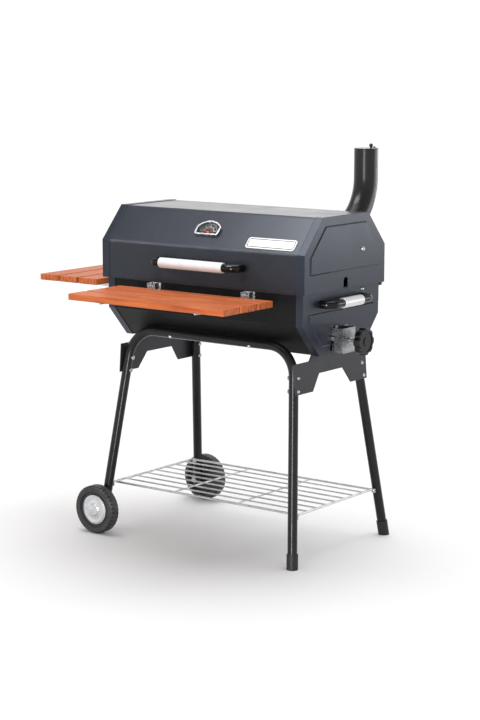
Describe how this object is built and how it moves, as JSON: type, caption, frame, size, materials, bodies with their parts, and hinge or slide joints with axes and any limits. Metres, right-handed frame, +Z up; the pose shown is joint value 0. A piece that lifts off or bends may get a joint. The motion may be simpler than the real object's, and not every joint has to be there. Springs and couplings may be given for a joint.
{
  "type": "charcoal barrel smoker",
  "caption": "Octagonal barrel charcoal smoker with a hinged lid, bent chimney, slatted wooden shelves, lifting charcoal tray and wheeled tube stand.",
  "frame": {"origin": "centre of the footprint's box, at floor level", "axes": "+Z up; -Y is the front, the side with the lid handle and the long shelf; +X is the right-hand end, with the chimney and the handwheel"},
  "size_m": [1.103, 0.7643, 1.2103],
  "materials": {
    "lid_paint": "satin heat-resistant paint, slate grey",
    "end_paint": "satin heat-resistant paint, slate grey",
    "bowl_paint": "satin heat-resistant paint, charcoal",
    "chimney_paint": "satin paint, charcoal",
    "stand_paint": "semi-gloss black paint",
    "plate_paint": "satin charcoal paint",
    "handle_black": "glossy black enamel",
    "grip_silver": "bright satin silver",
    "zinc_fasteners": "bright zinc plate",
    "zinc_wire": "bright zinc plate",
    "zinc_bracket": "bright zinc plate",
    "chrome_bracket": "bright plated steel",
    "bezel_chrome": "polished",
    "dial_face": "printed dial",
    "dial_glass": "clear",
    "needle_red": "gloss red",
    "brushed_stem": "plain steel",
    "badge_silver": "satin silver, blank",
    "wheel_tread": "moulded dark grey plastic",
    "hub_silver": "pressed bright steel",
    "foot_plastic": "moulded black plastic",
    "knob_black": "glossy black moulding",
    "tray_steel": "matt black enamel",
    "grate_enamel": "black enamelled steel rod",
    "grate_chrome": "chromed steel rod",
    "shelf_wood": "stained and oiled softwood"
  },
  "bodies": {
    "stand": {"front_leg_frame": "stand_paint", "rear_leg_frame": "stand_paint", "foot_caps": "foot_plastic", "saddle_plate_left": "plate_paint", "saddle_plate_right": "plate_paint", "saddle_bolts": "zinc_fasteners", "wheel_bolts": "zinc_fasteners", "wire_shelf": "zinc_wire", "wire_shelf_bolts": "zinc_fasteners", "bowl_shell": "bowl_paint", "bowl_end_left": "end_paint", "bowl_end_right": "end_paint", "bowl_screws": "zinc_fasteners", "side_handle_tube": "handle_black", "side_handle_grip": "grip_silver", "hinge_leaves_bowl": "plate_paint", "hinge_pins": "zinc_fasteners", "lift_bracket": "chrome_bracket", "air_vent_rivet": "zinc_fasteners", "grate_ledges": "bowl_paint", "rack_bolts_bowl": "zinc_fasteners", "front_shelf_pegs": "zinc_bracket", "side_shelf_pegs": "zinc_bracket"},
    "lid": {"lid_shell": "lid_paint", "lid_end_left": "end_paint", "lid_end_right": "end_paint", "lid_handle_tube": "handle_black", "lid_handle_grip": "grip_silver", "lid_screws": "zinc_fasteners", "thermometer_bezel": "bezel_chrome", "thermometer_dial": "dial_face", "thermometer_glass": "dial_glass", "thermometer_stem": "brushed_stem", "badge_plate": "badge_silver", "hinge_leaves_lid": "plate_paint", "chimney_pipe": "chimney_paint", "chimney_flange": "chimney_paint", "rack_bolts_lid": "zinc_fasteners"},
    "damper": {"damper_cover": "chimney_paint", "damper_knob": "knob_black"},
    "thermometer_pointer": {"thermometer_needle": "needle_red"},
    "front_wheel": {"wheel_front": "wheel_tread", "hub_cap_front": "hub_silver"},
    "rear_wheel": {"wheel_rear": "wheel_tread", "hub_cap_rear": "hub_silver"},
    "tray": {"charcoal_tray": "tray_steel", "lift_slide": "zinc_bracket"},
    "lift_wheel": {"handwheel": "knob_black", "handwheel_shaft": "zinc_fasteners"},
    "left_grate": {"grate_left": "grate_enamel"},
    "right_grate": {"grate_right": "grate_enamel"},
    "rack": {"warming_rack": "grate_chrome"},
    "rack_legs": {"warming_rack_legs": "grate_chrome"},
    "front_shelf": {"front_shelf_slats": "shelf_wood", "front_shelf_arms": "zinc_bracket", "front_shelf_screws": "zinc_fasteners"},
    "side_shelf": {"side_shelf_slats": "shelf_wood", "side_shelf_arms": "zinc_bracket", "side_shelf_screws": "zinc_fasteners"},
    "air_vent": {"air_vent_disc": "end_paint"}
  },
  "joints": [
    {"name": "lid_hinge", "type": "hinge", "parent": "stand", "child": "lid", "pos_m": [0.0805, 0.3049, 0.79], "axis": [-1, 0, 0], "range_deg": [0, 85]},
    {"name": "warming_rack_level", "type": "hinge", "parent": "lid", "child": "rack", "pos_m": [0.0805, 0.1749, 0.908], "axis": [-1, 0, 0], "range_deg": [-85, 0]},
    {"name": "rack_leg_swing", "type": "hinge", "parent": "stand", "child": "rack_legs", "pos_m": [0.0805, 0.1969, 0.785], "axis": [-1, 0, 0], "range_deg": [0, 85]},
    {"name": "damper_swing", "type": "hinge", "parent": "lid", "child": "damper", "pos_m": [0.3825, 0.3544, 1.194], "axis": [0, 0, 1], "range_deg": [0, 90]},
    {"name": "thermometer_pointer_turn", "type": "hinge", "parent": "lid", "child": "thermometer_pointer", "pos_m": [0.0835, -0.08266, 0.95323], "axis": [0, -0.7426, 0.6698], "range_deg": [-150, 8], "stiffness_Nm_per_rad": 0.0005},
    {"name": "front_wheel_spin", "type": "hinge", "parent": "stand", "child": "front_wheel", "pos_m": [-0.27948, -0.1841, 0.0755], "axis": [0, 1, 0], "continuous": true},
    {"name": "rear_wheel_spin", "type": "hinge", "parent": "stand", "child": "rear_wheel", "pos_m": [-0.27948, 0.3619, 0.0755], "axis": [0, 1, 0], "continuous": true},
    {"name": "tray_lift", "type": "slide", "parent": "stand", "child": "tray", "axis": [0, 0, 1], "range_m": [-0.03, 0]},
    {"name": "handwheel_turn", "type": "hinge", "parent": "stand", "child": "lift_wheel", "pos_m": [0.5105, 0.0659, 0.651], "axis": [1, 0, 0], "range_deg": [0, 143.5]},
    {"name": "left_grate_lift", "type": "slide", "parent": "stand", "child": "left_grate", "axis": [0, 0, 1], "range_m": [0, 0.04]},
    {"name": "right_grate_lift", "type": "slide", "parent": "stand", "child": "right_grate", "axis": [0, 0, 1], "range_m": [0, 0.04]},
    {"name": "front_shelf_lift", "type": "slide", "parent": "stand", "child": "front_shelf", "axis": [0, 0, 1], "range_m": [0, 0.03]},
    {"name": "side_shelf_lift", "type": "slide", "parent": "stand", "child": "side_shelf", "axis": [0, 0, 1], "range_m": [0, 0.03]},
    {"name": "air_vent_turn", "type": "hinge", "parent": "stand", "child": "air_vent", "pos_m": [-0.2905, 0.0889, 0.675], "axis": [1, 0, 0], "range_deg": [0, 60]}
  ],
  "couplings": [
    {"joint": "warming_rack_level", "follows": "lid_hinge", "ratio": -1},
    {"joint": "rack_leg_swing", "follows": "lid_hinge", "ratio": 1},
    {"joint": "handwheel_turn", "follows": "tray_lift", "rad_per_m": -83.333}
  ]
}
